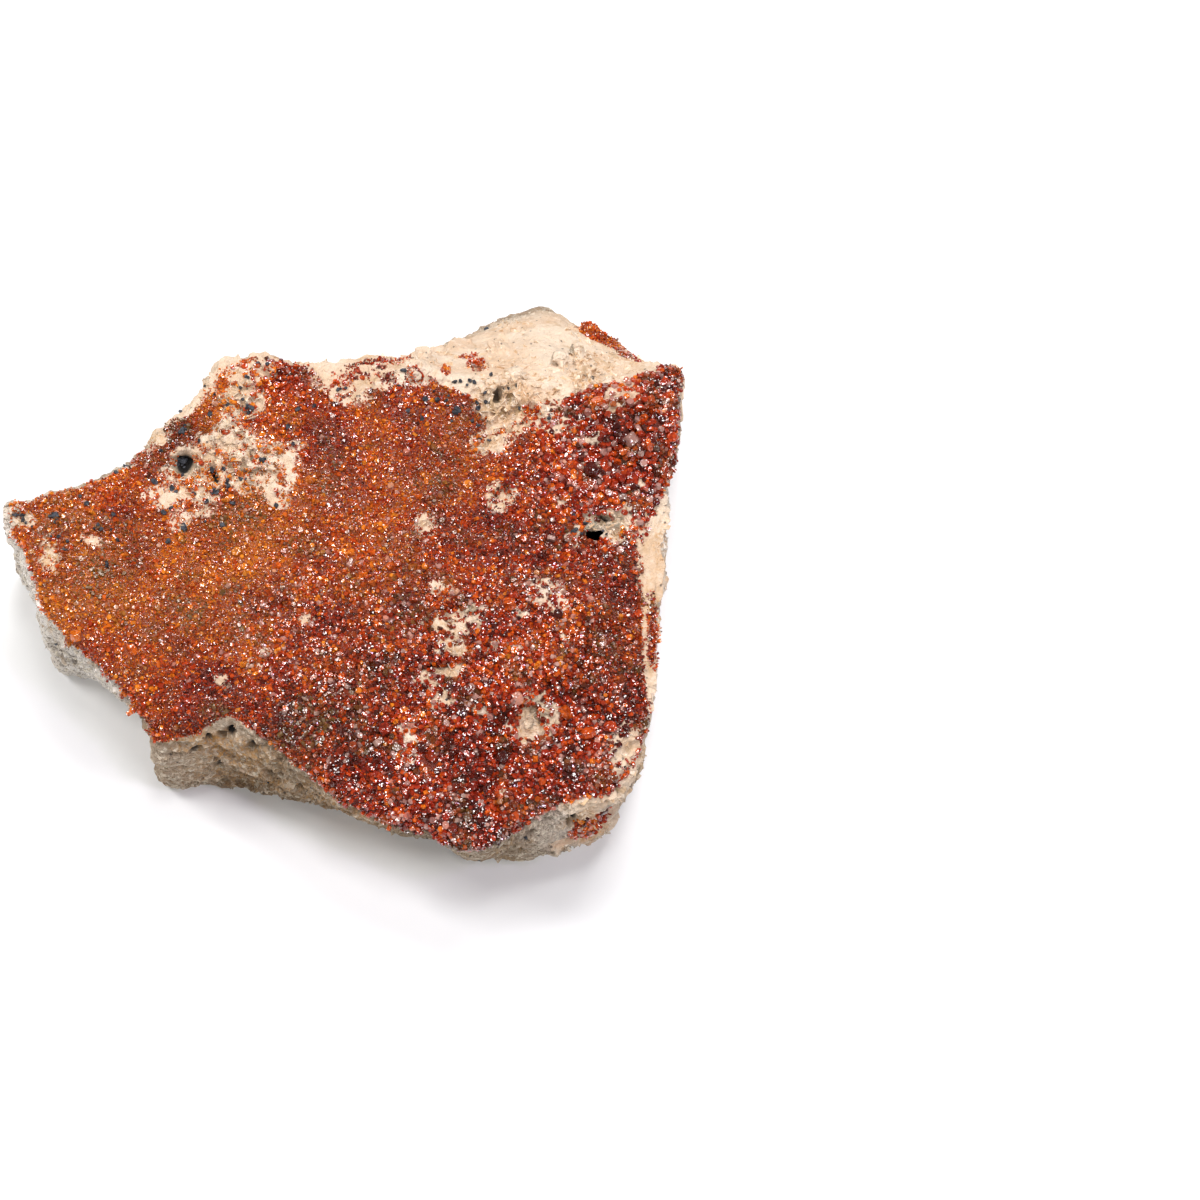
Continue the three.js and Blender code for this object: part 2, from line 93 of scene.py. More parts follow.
# Pale patches in the druse: photo pixel, half sizes in pixels, turn in degrees and strength
PALE_PATCHES = [
    (215, 455, 50, 24, -20, 1.35),
    (240, 474, 46, 20, 10, 1.3),
    (275, 458, 26, 12, -20, 1.1),
    (284, 484, 9, 26, 35, 1.1),
    (281, 502, 12, 9, 0, 1.0),
    (160, 438, 16, 10, -35, 1.2),
    (165, 497, 20, 12, 15, 1.1),
    (190, 490, 30, 12, 15, 1.2),
    (178, 520, 13, 15, 0, 0.95),
    (205, 510, 16, 9, 0, 0.7),
    (240, 400, 30, 18, 0, 1.25),
    (228, 425, 22, 12, -30, 1.1),
    (245, 370, 32, 14, 5, 1.4),
    (333, 378, 28, 13, 5, 1.4),
    (350, 396, 20, 12, 10, 1.2),
    (370, 377, 32, 13, 0, 1.4),
    (408, 374, 28, 12, 5, 1.4),
    (450, 378, 32, 9, 15, 1.3),
    (512, 400, 34, 34, 0, 1.5),
    (545, 396, 26, 18, 0, 1.3),
    (540, 425, 24, 8, 5, 1.1),
    (490, 441, 22, 13, -20, 1.4),
    (52, 554, 14, 20, 10, 1.0),
    (20, 517, 16, 11, 10, 1.2),
    (98, 543, 20, 7, 30, 0.45),
    (457, 622, 30, 12, -5, 1.2),
    (450, 646, 16, 13, 0, 1.1),
    (440, 674, 25, 12, -10, 1.25),
    (439, 697, 13, 14, 0, 1.15),
    (486, 718, 11, 15, 0, 1.15),
    (409, 740, 11, 28, 10, 0.8),
    (532, 720, 24, 27, 20, 1.4),
    (549, 596, 22, 15, 30, 1.1),
    (504, 647, 18, 9, 0, 0.9),
    (426, 527, 14, 13, 0, 1.1),
    (501, 497, 15, 15, 15, 1.2),
    (442, 590, 13, 9, 0, 0.8),
    (562, 498, 9, 9, 0, 0.8),
    (606, 528, 34, 19, -15, 1.4),
    (650, 556, 12, 46, 0, 1.4),
    (651, 640, 8, 50, 4, 1.3),
    (628, 755, 18, 28, 0, 1.35),
    (565, 422, 26, 11, -10, 1.15),
    (592, 437, 18, 9, 0, 0.95),
    (590, 470, 12, 12, 0, 0.75),
    (637, 485, 7, 12, 20, 0.9),
    (618, 388, 40, 12, 0, 1.2),
    (563, 388, 24, 9, -10, 1.1),
    (610, 405, 12, 8, 0, 0.8),
    (223, 681, 7, 8, 0, 0.9),
    (254, 663, 10, 7, 20, 0.8),
    (266, 652, 8, 6, 0, 0.7),
    (306, 618, 7, 7, 0, 0.8),
    (520, 610, 10, 8, 0, 0.8),
    (505, 790, 12, 8, 20, 0.7),
    (560, 640, 9, 9, 0, 0.7),
]

# The corner where the side crust is thin
CORNER_PATCH = (578, 812, 30, 28, 0, 1.0)

# Places where crystals dust the pale stone: photo pixel, half sizes in pixels, turn and strength
GROWTHS = [
    (147, 456, 15, 12, 0, 1.1),
    (181, 432, 14, 12, 0, 1.1),
    (207, 408, 11, 15, 20, 1.0),
    (222, 385, 6, 14, 0, 0.7),
    (290, 385, 20, 26, 10, 1.2),
    (382, 356, 28, 6, 0, 1.2),
    (468, 356, 8, 3, 0, 0.7),
    (445, 371, 5, 4, 0, 0.8),
    (389, 378, 8, 5, 0, 1.0),
    (478, 365, 9, 5, 0, 0.9),
    (250, 425, 14, 6, 20, 0.8),
    (210, 474, 6, 8, 0, 0.9),
    (243, 473, 8, 5, 0, 0.9),
    (606, 340, 34, 4.5, 33, 1.1),
    (648, 358, 14, 4.5, 25, 1.1),
    (669, 374, 10, 13, 0, 1.3),
    (576, 408, 10, 9, 0, 1.2),
    (586, 429, 7, 7, 0, 1.2),
    (600, 405, 8, 6, 0, 1.0),
    (654, 645, 6, 44, -4, 1.2),
    (500, 714, 12, 9, 0, 1.3),
    (531, 410, 7, 5, 0, 0.9),
]

# Holes that run down into the stone, painted black inside as their shade: photo pixel, half sizes in
# pixels, turn and strength
HOLES = [
    (593, 538, 11, 8, -10, 1.5),
    (184, 462, 8, 10, 20, 1.1),
    (214, 474, 4, 9, -20, 0.9),
    (245, 471, 5, 2.5, 20, 0.7),
    (571, 817, 6, 6, 0, 0.9),
    (433, 667, 15, 2.2, -10, 1.0),
    (605, 519, 7, 3, 0, 0.7),
    (580, 519, 4, 4, 0, 0.7),
    (498, 394, 3, 7, 20, 0.7),
    (532, 407, 7, 3, 30, 0.6),
    (196, 748, 9, 4, -20, 0.8),
    (229, 733, 6, 5, 0, 0.9),
    (222, 763, 8, 3, 0, 0.7),
    (557, 806, 3, 6, 20, 0.8),
    (209, 737, 4, 4, 0, 0.8),
    (253, 745, 6, 4, 10, 0.8),
]

# Ground stained yellow or ochre, and ground greyed with green: photo pixel, half sizes, turn, strength
OCHRE_PATCHES = [
    (585, 378, 16, 12, 0, 0.9),
    (508, 402, 28, 22, 0, 0.55),
    (484, 443, 18, 12, -20, 0.8),
    (657, 640, 9, 52, -8, 1.0),
    (660, 545, 6, 34, 0, 0.7),
    (50, 552, 12, 16, 10, 0.9),
    (591, 825, 14, 18, 0, 0.7),
    (160, 440, 14, 9, -20, 0.7),
    (448, 650, 26, 34, 0, 0.6),
    (220, 745, 60, 14, 15, 0.8),
    (255, 775, 70, 8, 8, 0.6),
    (340, 800, 60, 8, 20, 0.6),
    (428, 525, 12, 10, 0, 0.4),
    (501, 497, 14, 13, 0, 0.5),
    (230, 400, 30, 20, 0, 0.4),
    (610, 345, 50, 8, 33, 0.6),
]
GREY_PATCHES = [
    (604, 524, 26, 11, -10, 0.9),
    (186, 466, 20, 14, 0, 0.8),
    (540, 715, 18, 24, 20, 0.5),
    (498, 400, 14, 12, 0, 0.5),
    (236, 405, 22, 16, 0, 0.5),
    (440, 675, 24, 14, 0, 0.4),
    (575, 805, 26, 18, 0, 0.35),
]

# Walls lighter and greyer than the front one: partly a greyer stone, partly painted light on walls that
# catch the light
LIT_PALER_WALLS = [
    (30, 600, 40, 90, 0, 1.1),
    (90, 670, 50, 30, 40, 1.0),
    (580, 815, 55, 45, 0, 0.35),
    (655, 600, 20, 120, 0, 0.8),
]

# Beds of thin blades on the bare stone: photo pixel, spread and amount
BLADE_BEDS = [
    (508, 402, 22, 1.0),
    (478, 442, 14, 0.8),
    (235, 462, 26, 1.0),
    (190, 490, 18, 0.6),
    (236, 402, 18, 0.8),
    (606, 526, 18, 1.0),
    (536, 718, 14, 0.7),
    (445, 660, 18, 0.6),
    (590, 385, 20, 0.8),
    (40, 545, 18, 0.6),
    (570, 815, 20, 0.6),
    (633, 755, 12, 0.5),
]

# The crystals darken from the left tip towards the lower right: the tip's photo pixel, the slant of that
# way below the picture's width, and how many pixels along it the change begins and ends
LEFT_TIP = (40, 520)
TONE_SLANT = math.radians(35)
DARKENING = (60, 520)

# Shifts of the crystals' colour from orange to dark red: photo pixel, spread and amount
TONE_SPOTS = [
    (134, 503, 24, 0.34),
    (158, 458, 18, 0.42),
    (182, 432, 16, 0.5),
    (330, 446, 28, 0.32),
    (290, 380, 24, 0.5),
    (380, 357, 26, 0.42),
    (85, 585, 45, -0.06),
    (190, 640, 40, -0.04),
    (262, 560, 45, -0.08),
    (430, 400, 30, 0.12),
    (395, 470, 40, -0.1),
    (210, 705, 30, 0.2),
    (130, 560, 20, 0.1),
    (330, 600, 60, 0.08),
    (350, 740, 60, 0.16),
    (290, 725, 26, 0.25),
    (470, 830, 40, 0.1),
    (650, 420, 30, 0.14),
    (600, 455, 50, 0.06),
    (600, 720, 34, 0.22),
    (560, 770, 40, 0.08),
    (620, 585, 24, 0.14),
    (612, 340, 26, -0.25),
    (655, 645, 22, -0.2),
    (578, 815, 16, -0.3),
    (665, 374, 12, 0.3),
    (165, 690, 32, 0.22),
    (110, 640, 26, 0.1),
    (300, 690, 50, 0.08),
    (500, 714, 9, 0.35),
    (576, 408, 9, 0.4),
]

# Where milky crystals are common, their pale pink partly painted reflection: photo pixel, spread and added
# share
MILKY_SHEEN_SPOTS = [(600, 470, 40, 0.12), (600, 400, 40, 0.10), (270, 620, 40, 0.10), (600, 740, 40, 0.05)]

# Olive-brown dust on the druse: photo pixel, spread and amount
DUST_SPOTS = [
    (92, 582, 28, 0.85),
    (180, 612, 24, 0.7),
    (330, 482, 20, 0.6),
    (225, 528, 18, 0.8),
    (140, 545, 18, 0.6),
    (60, 512, 22, 0.5),
    (400, 600, 26, 0.5),
    (255, 605, 24, 0.5),
    (440, 480, 30, 0.45),
    (300, 540, 22, 0.4),
    (345, 690, 30, 0.45),
    (300, 735, 22, 0.65),
    (218, 716, 12, 0.8),
    (190, 420, 18, 0.7),
    (165, 455, 20, 0.5),
    (245, 500, 26, 0.5),
    (610, 640, 30, 0.35),
    (470, 420, 22, 0.45),
]

# Where the crystals grow larger than in the fine druse: photo pixel, spread and added width in mm
COARSE_BEDS = [
    (618, 440, 42, 0.30),
    (600, 485, 38, 0.20),
    (640, 395, 26, 0.26),
    (450, 800, 90, 0.15),
    (540, 740, 60, 0.12),
    (570, 640, 70, 0.06),
    (280, 386, 20, 0.10),
    (400, 700, 80, 0.07),
    (340, 640, 60, 0.04),
    (500, 714, 7, 0.35),
    (605, 335, 40, -0.03),
]

# The crystals' widths in mm: of the fine druse, the least, the greatest, and where six-sided prisms and
# large crystals begin
FINE_WIDTH = 0.20
SMALLEST_WIDTH = 0.13
LARGEST_WIDTH = 1.6
PRISM_WIDTH = 0.33
LARGE_WIDTH = 0.62

# The share of crystals that are much wider than their neighbours, and the spacing of crystals in widths
PLATE_SHARE = 0.02
CRYSTAL_SPACING = 0.76

# How many random places a square metre gets, from which the crystals, grains and blades are chosen
CRYSTAL_SEEDS = 90e6
GRAIN_SEEDS = 0.6e6
BLADE_SEEDS = 5e6

# Dark grains on the face: photo pixel, width and height in pixels
DARK_GRAINS = [
    (250, 407, 12, 8), (183, 432, 10, 13), (181, 462, 13, 15), (126, 467, 6, 7), (153, 482, 8, 7),
    (172, 489, 7, 10), (194, 494, 6, 5), (213, 493, 9, 8), (206, 502, 5, 4), (227, 483, 6, 6),
    (242, 479, 7, 5), (233, 503, 3, 3), (263, 460, 13, 5), (214, 469, 7, 6), (184, 528, 6, 13),
    (163, 513, 5, 10), (168, 542, 7, 7), (88, 505, 6, 6), (54, 515, 11, 7), (16, 514, 8, 4),
    (107, 566, 5, 6), (223, 527, 7, 5), (277, 506, 5, 4), (288, 427, 6, 5), (298, 410, 5, 4),
    (314, 407, 4, 4), (248, 378, 7, 4), (259, 365, 6, 3), (268, 365, 5, 3), (210, 415, 6, 4),
    (228, 405, 5, 4), (243, 399, 4, 4), (67, 542, 5, 3), (65, 551, 5, 4), (339, 390, 6, 3),
    (116, 474, 5, 3), (81, 497, 4, 3), (293, 443, 4, 3), (425, 399, 6, 7), (437, 401, 8, 6),
    (457, 413, 12, 8), (454, 383, 6, 3), (474, 383, 4, 3), (492, 376, 5, 3), (421, 420, 4, 4),
    (476, 404, 4, 4), (478, 426, 4, 3), (403, 371, 6, 3), (479, 409, 6, 4), (486, 402, 3, 3),
    (592, 378, 4, 4), (480, 441, 3, 3), (489, 440, 3, 3), (346, 389, 4, 3), (550, 418, 4, 3),
]

# Zones of stray grains: photo pixel and half sizes in pixels, and the number of grains in each
STRAY_GRAIN_ZONES = [(190, 455, 60, 70), (440, 402, 45, 22), (70, 530, 50, 16), (585, 522, 26, 14)]
STRAY_GRAINS = 16

# The number of grains in the hollows of the bare stone, and the square pixels of a dark spot that give it
# one grain more
WALL_GRAINS = 110
SPOT_PER_GRAIN = 9

ROOT_SEED = 20

# The crystals' colours from orange to dark red, and the darker ones of the ground between them, partly its
# own colour and partly painted shade between the crystals
CRYSTAL_TONES = [
    (0.0, (0.90, 0.27, 0.018)),
    (0.25, (0.74, 0.12, 0.008)),
    (0.5, (0.52, 0.050, 0.006)),
    (0.75, (0.33, 0.022, 0.006)),
    (1.0, (0.08, 0.008, 0.004)),
]
SHADED_GROUND_TONES = [
    (0.0, (0.40, 0.085, 0.010)),
    (0.5, (0.19, 0.022, 0.006)),
    (1.0, (0.05, 0.008, 0.004)),
]
CRYSTAL_SHADE = (0.38, 0.18, 0.07)
OLIVE_DUST = (0.15, 0.075, 0.014)
# The milky crystals' pale pink: partly their own colour, partly painted reflection of the pale
# surroundings
MILKY_PINK_SHEEN = (0.58, 0.37, 0.31)

# The stone's colours: walls, darker and browner than the top partly as painted shade, the top, stains and
# what lies in the shade
SHADED_WALL_BROWN = (0.34, 0.24, 0.155)
SHADED_WALL_TAN = (0.47, 0.36, 0.26)
WALL_CREAM = (0.82, 0.72, 0.57)
LIT_WALL_CHALK = (0.93, 0.87, 0.80)
WALL_THREADS = (0.13, 0.08, 0.04)
WALL_HOLLOW_SHADE = (0.11, 0.07, 0.035)
TOP_TAN = (0.74, 0.53, 0.36)
TOP_CREAM = (0.82, 0.65, 0.49)
TOP_PALE = (0.90, 0.77, 0.65)
TOP_THREADS = (0.50, 0.32, 0.17)
TOP_HOLLOW_SHADE = (0.36, 0.25, 0.12)
RUST_STAIN = (0.52, 0.30, 0.11)
OCHRE = (0.56, 0.27, 0.06)
GREY_GREEN = (0.22, 0.20, 0.14)
DARK_SPECK = (0.05, 0.045, 0.04)
HOLE_SHADE_BLACK = (0.012, 0.01, 0.008)

# The colours of the dark grains and the blades, the blades on the walls darker than those on top, partly
# as painted shade
GRAIN_BLACK = (0.012, 0.014, 0.02)
GRAIN_BLUE = (0.07, 0.075, 0.09)
SHADED_BLADE_BROWN = (0.36, 0.25, 0.16)
SHADED_BLADE_GREY = (0.64, 0.53, 0.40)
LIT_BLADE_CHALK = (0.86, 0.80, 0.73)
BLADE_TAN = (0.72, 0.50, 0.30)
BLADE_CREAM = (0.92, 0.80, 0.66)

# The lamps: place, width and power, with the colour of their light
WHITE = (1.0, 1.0, 1.0)
VIOLET = (0.75, 0.6, 1.0)
LAMPS = {
    "key_light": ((0.10, 0.32, 0.62), 0.26, 2.6, WHITE),
    "left_light": ((-0.40, 0.16, 0.54), 0.20, 2.0, WHITE),
    "right_light": ((0.42, -0.16, 0.50), 0.16, 0.9, WHITE),
    "front_light": ((-0.14, -0.42, 0.52), 0.16, 0.9, WHITE),
    "top_light": ((0.03, 0.05, 0.72), 0.12, 1.1, WHITE),
    "violet_light": ((0.24, -0.10, 0.66), 0.06, 0.35, VIOLET),
}
ROOM_LIGHT = 0.12
FLOOR_WIDTH = 6.0
FLOOR_WHITE = (0.97, 0.97, 0.97)


def smooth(low, high, value):
    """0 below low and 1 above high, with a soft change between."""
    share = np.clip((value - low) / (high - low), 0, 1)
    return share * share * (3 - 2 * share)


def placed_object(name, data):
    """A new object in the scene that shows a mesh, camera or lamp."""
    made = bpy.data.objects.new(name, data)
    bpy.context.scene.collection.objects.link(made)
    return made


class PhotoView:
    """The photograph's camera, and the way between its pixels and places on the stone."""

    def __init__(self):
        back = Vector((0, -math.cos(LOOK_DOWN), math.sin(LOOK_DOWN)))
        right = Vector((1, 0, 0))
        level = Matrix((right, back.cross(right), back)).transposed()
        yaw = -math.atan((AIM_PIXEL[0] - PHOTO_SIZE / 2) / LENS_PIXELS)
        pitch = math.atan((PHOTO_SIZE / 2 - AIM_PIXEL[1]) / LENS_PIXELS * math.cos(yaw))
        self.turn = level @ Matrix.Rotation(-yaw, 3, "Y") @ Matrix.Rotation(-pitch, 3, "X")
        self.towards = back
        self.place = AIM + back * LENS_PIXELS * PIXEL

    def pixels(self, points):
        """The photo pixels, one row each, at which points in metres show."""
        seen = (np.asarray(points) - np.array(self.place)) @ np.array(self.turn)
        across = PHOTO_SIZE / 2 + LENS_PIXELS * seen[:, 0] / -seen[:, 2]
        down = PHOTO_SIZE / 2 - LENS_PIXELS * seen[:, 1] / -seen[:, 2]
        return np.stack([across, down], axis=1)

    def facing(self, normals):
        """How squarely each surface direction faces the camera, from -1 to 1."""
        return normals @ np.array(self.towards)

    def direction(self, across, down):
        """The direction from the camera through one photo pixel."""
        offset = Vector((across - PHOTO_SIZE / 2, PHOTO_SIZE / 2 - down, -LENS_PIXELS))
        return (self.turn @ offset).normalized()

    def add_camera(self):
        camera = placed_object("camera", bpy.data.cameras.new("camera"))
        camera.data.sensor_width = SENSOR
        camera.data.lens = SENSOR * LENS_PIXELS / PHOTO_SIZE
        camera.data.clip_start = 0.01
        camera.matrix_world = Matrix.Translation(self.place) @ self.turn.to_4x4()
        bpy.context.scene.camera = camera


class Value:
    """One number, vector or colour on its way through a material's nodes."""

    def __init__(self, finish, socket):
        self.finish = finish
        self.socket = socket

    def maths(self, operation, first, second):
        return self.finish.node("ShaderNodeMath", {"operation": operation}, {0: first, 1: second})

    def __add__(self, other):
        return self.maths("ADD", self, other)

    def __sub__(self, other):
        return self.maths("SUBTRACT", self, other)

    def __rsub__(self, other):
        return self.maths("SUBTRACT", other, self)

    def __mul__(self, other):
        return self.maths("MULTIPLY", self, other)

    __radd__ = __add__
    __rmul__ = __mul__


class Finish:
    """A material and the ways to add nodes to it."""

    def __init__(self, name):
        self.material = bpy.data.materials.new(name)
        self.material.use_nodes = True
        self.tree = self.material.node_tree
        self.shader = self.tree.nodes["Principled BSDF"]
        self.place = self.node("ShaderNodeTexCoord", output="Object")

    def connect(self, socket, value):
        if isinstance(value, Value):
            self.tree.links.new(value.socket, socket)
        elif isinstance(value, (tuple, list)) and len(value) == 3 and socket.type == "RGBA":
            socket.default_value = (*value, 1)
        else:
            socket.default_value = value

    def node(self, kind, settings=None, inputs=None, output=0):
        """A node of that type: its settings are set first, then its sockets' values or links."""
        made = self.tree.nodes.new(kind)
        for name, value in (settings or {}).items():
            if name == "stops":
                self.set_stops(made.color_ramp.elements, value)
            else:
                setattr(made, name, value)
        for name, value in (inputs or {}).items():
            self.connect(made.inputs[name], value)
        return Value(self, made.outputs[output])

    def set_stops(self, elements, stops):
        while len(elements) < len(stops):
            elements.new(0.5)
        for element, (position, colour) in zip(elements, stops):
            element.position = position
            element.color = (*colour, 1)

    def surface(self, **inputs):
        """Gives the material's own shader its values or links."""
        for name, value in inputs.items():
            self.connect(self.shader.inputs[name.replace("_", " ")], value)

    def attribute(self, name):
        return self.node("ShaderNodeAttribute", {"attribute_name": name}, output="Fac")

    def grain(self, size, detail=3.0, stretch=None, distortion=0.0):
        """Smooth noise from 0 to 1 with lumps of that size in metres, stretched along the axes."""
        place = self.place
        if stretch:
            place = self.node("ShaderNodeMapping", inputs={"Vector": place, "Scale": stretch})
        inputs = {"Vector": place, "Scale": 1 / size, "Detail": detail, "Distortion": distortion}
        return self.node("ShaderNodeTexNoise", inputs=inputs)

    def cells(self, size, output="Distance"):
        """Random cells of that size: how far their centres are, or a colour for each."""
        return self.node("ShaderNodeTexVoronoi", None, {"Vector": self.place, "Scale": 1 / size}, output)

    def between(self, value, low, high):
        """0 where value is under low, 1 where it is over high."""
        inputs = {"Value": value, "From Min": low, "From Max": high}
        return self.node("ShaderNodeMapRange", {"interpolation_type": "SMOOTHSTEP"}, inputs)

    def mix(self, share, first, second, blend="MIX"):
        settings = {"data_type": "RGBA", "blend_type": blend}
        return self.node("ShaderNodeMix", settings, {0: share, 6: first, 7: second}, 2)

    def vector(self, operation, first, second=(0, 0, 0)):
        return self.node("ShaderNodeVectorMath", {"operation": operation}, {0: first, 1: second})

    def sparkle(self, size, lean):
        """The surface's direction, turned another way in each small cell, as on stepped crystals."""
        centred = self.vector("SUBTRACT", self.cells(size, "Color"), (0.5, 0.5, 0.5))
        turned = self.vector("MULTIPLY", centred, (lean, lean, lean))
        normal = self.node("ShaderNodeNewGeometry", output="Normal")
        return self.vector("NORMALIZE", self.vector("ADD", normal, turned))

    def ramp(self, value, stops):
        """A colour for value from a list of places and colours."""
        return self.node("ShaderNodeValToRGB", {"stops": stops}, {0: value})

    def bump(self, height, depth):
        return self.node("ShaderNodeBump", inputs={"Height": height, "Distance": depth, "Strength": 1.0})


def deselect_all():
    for obj in bpy.context.selected_objects:
        obj.select_set(False)


def only(obj):
    """Makes one object the selected and active one."""
    deselect_all()
    obj.select_set(True)
    bpy.context.view_layer.objects.active = obj


def apply_modifier(obj, kind, **settings):
    only(obj)
    modifier = obj.modifiers.new(kind.lower(), kind)
    for name, value in settings.items():
        setattr(modifier, name, value)
    bpy.ops.object.modifier_apply(modifier=modifier.name)


def vertex_places(mesh):
    places = np.empty(len(mesh.vertices) * 3, np.float32)
    mesh.vertices.foreach_get("co", places)
    return places.reshape(-1, 3).astype(float)


def vertex_normals(mesh):
    normals = np.empty(len(mesh.vertices) * 3, np.float32)
    mesh.vertex_normals.foreach_get("vector", normals)
    return normals.reshape(-1, 3).astype(float)


def inside_box(points):
    """The points, none of them outside the solids' box."""
    margin = 0.02 * MM
    return np.clip(points, np.array(cad_low) + (margin, margin, 0), np.array(cad_high) - margin)


def place_vertices(mesh, points):
    mesh.vertices.foreach_set("co", inside_box(points).astype(np.float32).ravel())
    mesh.update()


def set_attribute(mesh, name, values):
    layer = mesh.attributes.new(name, "FLOAT", "POINT")
    layer.data.foreach_set("value", np.asarray(values, np.float32))


def attribute_values(mesh, name):
    values = np.empty(len(mesh.vertices), np.float32)
    mesh.attributes[name].data.foreach_get("value", values)
    return values.astype(float)


def noise_at(points, size, seed, stretch=(1, 1, 1)):
    """Smooth noise from -1 to 1 at each point, with lumps of that size in metres."""
    scaled = points / size * np.array(stretch) + seed
    return np.array([noise.noise(point) for point in scaled.tolist()])


def cells_at(points, size, seed, stretch=(1, 1, 1)):
    """How far each point is from the nearest and second nearest cell centre, in cell sizes."""
    scaled = points / size * np.array(stretch) + seed
    return np.array([noise.voronoi(point)[0][:2] for point in scaled.tolist()])


def spots_at(pixels, spots):
    """The sum of soft round spots (across, down, spread, amount) at each photo pixel."""
    total = np.zeros(len(pixels))
    for across, down, spread, amount in spots:
        reach = ((pixels - (across, down)) ** 2).sum(axis=1)
        total += amount * np.exp(-reach / (2 * spread ** 2))
    return total


def patches_at(pixels, patches):
    """The strongest of the oval patches (across, down, half sizes, turn, strength) at each photo pixel."""
    strongest = np.zeros(len(pixels))
    for across, down, half_width, half_height, degrees, strength in patches:
        turn = math.radians(degrees)
        dx, dy = (pixels - (across, down)).T
        along = (dx * math.cos(turn) + dy * math.sin(turn)) / half_width
        over = (dy * math.cos(turn) - dx * math.sin(turn)) / half_height
        inside = 1 - smooth(0.35, 1.6, np.sqrt(along ** 2 + over ** 2))
        strongest = np.maximum(strongest, strength * inside)
    return strongest


def cad_copy(node, shift):
    """A merged copy of a CAD node's mesh, moved by shift."""
    copy = placed_object(node + "_copy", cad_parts[node].data.copy())
    only(copy)
    bpy.ops.object.mode_set(mode="EDIT")
    bpy.ops.mesh.select_all(action="SELECT")
    bpy.ops.mesh.remove_doubles(threshold=SAME_PLACE)
    bpy.ops.mesh.customdata_custom_splitnormals_clear()
    bpy.ops.object.mode_set(mode="OBJECT")
    copy.data.transform(Matrix.Translation(shift))
    copy.data.materials.clear()
    return copy


def surface_tree(nodes):
    """A search tree over the faces of some CAD nodes."""
    corners, faces = [], []
    for node in nodes:
        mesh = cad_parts[node].data
        start = len(corners)
        corners += [vertex.co.copy() for vertex in mesh.vertices]
        faces += [[start + i for i in face.vertices] for face in mesh.polygons]
    return BVHTree.FromPolygons(corners, faces)


def distance_to(tree, points, reach):
    """How far each point is from a surface, up to reach."""
    found = (tree.find_nearest(point, reach)[3] for point in points.tolist())
    return np.array([reach if distance is None else distance for distance in found])


def make_stone():
    """The whole stone's surface: the matrix with the swell of each druse, finely meshed."""
    matrix = cad_copy("matrix", (0, 0, 0))
    parts = [cad_copy("vanadinite_druse", (0, 0, -CRUST_SINK))]
    for node, inwards in SIDE_DRUSES.items():
        parts.append(cad_copy(node, Vector(inwards) * CRUST_SINK))
    only(matrix)
    for part in parts:
        part.select_set(True)
    bpy.ops.object.join()
    matrix.name = "matrix_stone"
    apply_modifier(matrix, "REMESH", mode="VOXEL", voxel_size=VOXEL)
    apply_modifier(matrix, "SMOOTH", factor=0.5, iterations=SMOOTHING_ROUNDS)
    return matrix


def crust_cover(points, normals, pixels):
    """How well the crystals cover each point of the stone, from 0, bare, to 1."""
    near = distance_to(surface_tree(["vanadinite_druse", *SIDE_DRUSES]), points, 2 * MM)
    cover = 1 - smooth(0.55 * MM, 0.95 * MM, near)
    on_face = smooth(0.2, 0.5, normals[:, 2])
    in_sight = smooth(0.0, 0.3, view.facing(normals))
    pale = patches_at(pixels, PALE_PATCHES) * on_face
    ragged = 0.8 * noise_at(points, 2.2 * MM, 3.1) + 0.7 * noise_at(points, 0.8 * MM, 9.4)
    ragged += 0.5 * noise_at(points, 0.45 * MM, 13.3)
    specks = smooth(0.22, 0.38, noise_at(points, 1.5 * MM, 15.2) + 0.3 * noise_at(points, 0.6 * MM, 2.2))
    pale = np.maximum(0, pale * (1 + 0.9 * ragged)) + 0.35 * specks * on_face
    corner = patches_at(pixels, [CORNER_PATCH]) * (normals[:, 2] < 0.6)
    strewn = 0.5 * cover * smooth(0.12, 0.3, noise_at(points, 0.7 * MM, 17.7))
    cover = np.clip(cover * (1 - pale) * (1 - corner * (0.75 + 0.8 * ragged)), 0, 1)
    cover = np.maximum(cover, strewn * (1 - corner))
    grown = patches_at(pixels, GROWTHS) * in_sight * (0.75 + 1.1 * ragged)
    cover = np.maximum(cover, np.clip(grown, 0, 1))
    return cover * (1 - patches_at(pixels, HOLES) * in_sight)


def crystal_tone(points, pixels):
    """The crystals' colour at each point, from 0, orange, to 1, dark red."""
    across, down = (pixels - LEFT_TIP).T
    along = across * math.cos(TONE_SLANT) + down * math.sin(TONE_SLANT)
    tone = 0.14 + 0.46 * smooth(*DARKENING, along) + spots_at(pixels, TONE_SPOTS)
    mottled = 0.26 * noise_at(points, 5.5 * MM, 5.7) + 0.22 * noise_at(points, 2.0 * MM, 1.3)
    return np.clip(tone + mottled, 0, 1)


def broad_relief(points, bare):
    """Lumps, grit and the swelling ground of the druse at each point, in mm."""
    lumps = noise_at(points, 5 * MM, 2.2) * (0.2 + 0.3 * bare)
    grit = 0.12 * noise_at(points, 1.1 * MM, 8.8) + 0.10 * noise_at(points, 0.55 * MM, 4.1)
    swell = (0.22 * noise_at(points, 1.7 * MM, 6.6) + 0.12 * noise_at(points, 0.8 * MM, 3.3)) * (1 - bare)
    return lumps + swell + grit


def layers_and_leaves(points):
    """The stone's thick layers and its thin leaves, each up to 1 where one stands out most."""
    layers = 1 - 2 * np.abs(noise_at(points, 2.4 * MM, 11.4, (0.5, 0.5, 1.9)))
    leaves = 1 - 2 * np.abs(noise_at(points, 1.1 * MM, 4.4, (0.6, 0.6, 2.2)))
    return layers, leaves


